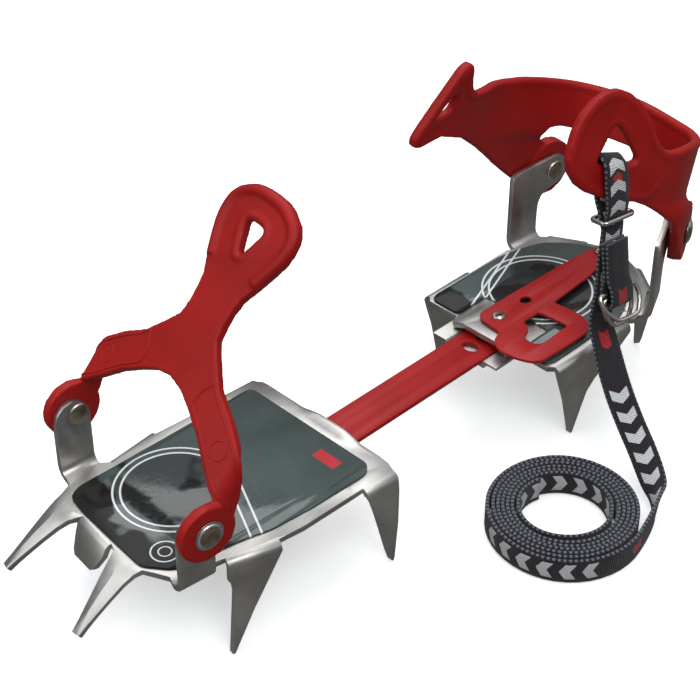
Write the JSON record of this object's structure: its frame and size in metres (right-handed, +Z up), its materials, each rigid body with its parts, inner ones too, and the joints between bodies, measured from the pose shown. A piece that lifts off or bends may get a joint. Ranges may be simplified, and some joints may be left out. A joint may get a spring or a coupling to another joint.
{
  "type": "walking crampon",
  "caption": "Strap-on walking crampon: two pointed steel plates joined by an adjustable bar, with moulded toe and heel bindings and a webbing strap.",
  "frame": {"origin": "on the ground, under the middle of the box round everything except the strap and its rings", "axes": "-X to the toe, +X to the heel, -Y to the outer side of a left foot, +Z up"},
  "size_m": [0.3962, 0.202, 0.189],
  "materials": {
    "steel": "satin, tumbled and pickled",
    "rivet_steel": "polished",
    "red_plastic": "smooth moulded satin",
    "red_coating": "satin powder coat",
    "black_plastic": "glossy",
    "webbing": "woven polyester webbing"
  },
  "bodies": {
    "heel_unit": {"heel_plate": "steel", "heel_cover": "black_plastic", "heel_under_plate": "black_plastic", "heel_stud_1": "black_plastic", "heel_stud_2": "black_plastic", "bar_guide": "steel", "guide_rivet_1": "rivet_steel", "guide_rivet_2": "rivet_steel", "lever_rivet": "rivet_steel", "lever_spacer": "rivet_steel", "heel_rivet_near": "rivet_steel", "heel_rivet_far": "rivet_steel", "heel_washer_near": "rivet_steel", "heel_washer_far": "rivet_steel", "strap_roll": "webbing"},
    "linking_bar": {"linking_bar": "red_coating"},
    "front_unit": {"front_plate": "steel", "front_cover": "black_plastic", "front_under_plate": "black_plastic", "front_stud_1": "black_plastic", "front_stud_2": "black_plastic", "front_stud_3": "black_plastic", "bar_pivot_rivet": "rivet_steel", "toe_rivet_near": "rivet_steel", "toe_rivet_far": "rivet_steel", "toe_washer_near": "rivet_steel", "toe_washer_far": "rivet_steel"},
    "toe_binding": {"toe_binding": "red_plastic"},
    "lock_lever": {"lock_lever": "red_coating", "lock_pin": "rivet_steel"},
    "heel_binding": {"heel_binding": "red_plastic", "strap_loop": "webbing", "strap_drop": "webbing", "strap_end": "webbing"},
    "keeper_ring": {"keeper_ring": "rivet_steel"},
    "d_ring_a": {"d_ring_a": "rivet_steel"},
    "d_ring_b": {"d_ring_b": "rivet_steel"}
  },
  "joints": [
    {"name": "length_slide", "type": "slide", "parent": "heel_unit", "child": "linking_bar", "axis": [1, 0, 0], "range_m": [-0.0212, 0.0212]},
    {"name": "front_swivel", "type": "hinge", "parent": "linking_bar", "child": "front_unit", "pos_m": [-0.07071, -0.00994, 0.0452], "axis": [0, 0, 1], "range_deg": [-6, 6]},
    {"name": "toe_hinge", "type": "hinge", "parent": "front_unit", "child": "toe_binding", "pos_m": [-0.14461, 0.00666, 0.0785], "axis": [0.1132, 0.9936, 0], "range_deg": [-100, 62]},
    {"name": "heel_hinge", "type": "hinge", "parent": "heel_unit", "child": "heel_binding", "pos_m": [0.1652, -0.00834, 0.0845], "axis": [0.0279, 0.9996, 0], "range_deg": [-5, 4], "deforming": ["strap_drop"]},
    {"name": "lever_flex", "type": "hinge", "parent": "heel_unit", "child": "lock_lever", "pos_m": [0.16279, -0.00994, 0.05265], "axis": [0, 1, 0], "range_deg": [0, 7], "stiffness_Nm_per_rad": 1.5, "springref_deg": -2.29},
    {"name": "keeper_slide", "type": "slide", "parent": "heel_binding", "child": "keeper_ring", "axis": [0.02, 0.1999, 0.9796], "range_m": [-0.005, 0.001]},
    {"name": "d_ring_a_swing", "type": "hinge", "parent": "heel_binding", "child": "d_ring_a", "pos_m": [0.10009, -0.06459, 0.0861], "axis": [0.9854, -0.1701, 0], "range_deg": [-40, 5]},
    {"name": "d_ring_b_swing", "type": "hinge", "parent": "heel_binding", "child": "d_ring_b", "pos_m": [0.10009, -0.06499, 0.0828], "axis": [0.9854, -0.1701, 0], "range_deg": [-5, 25]}
  ]
}
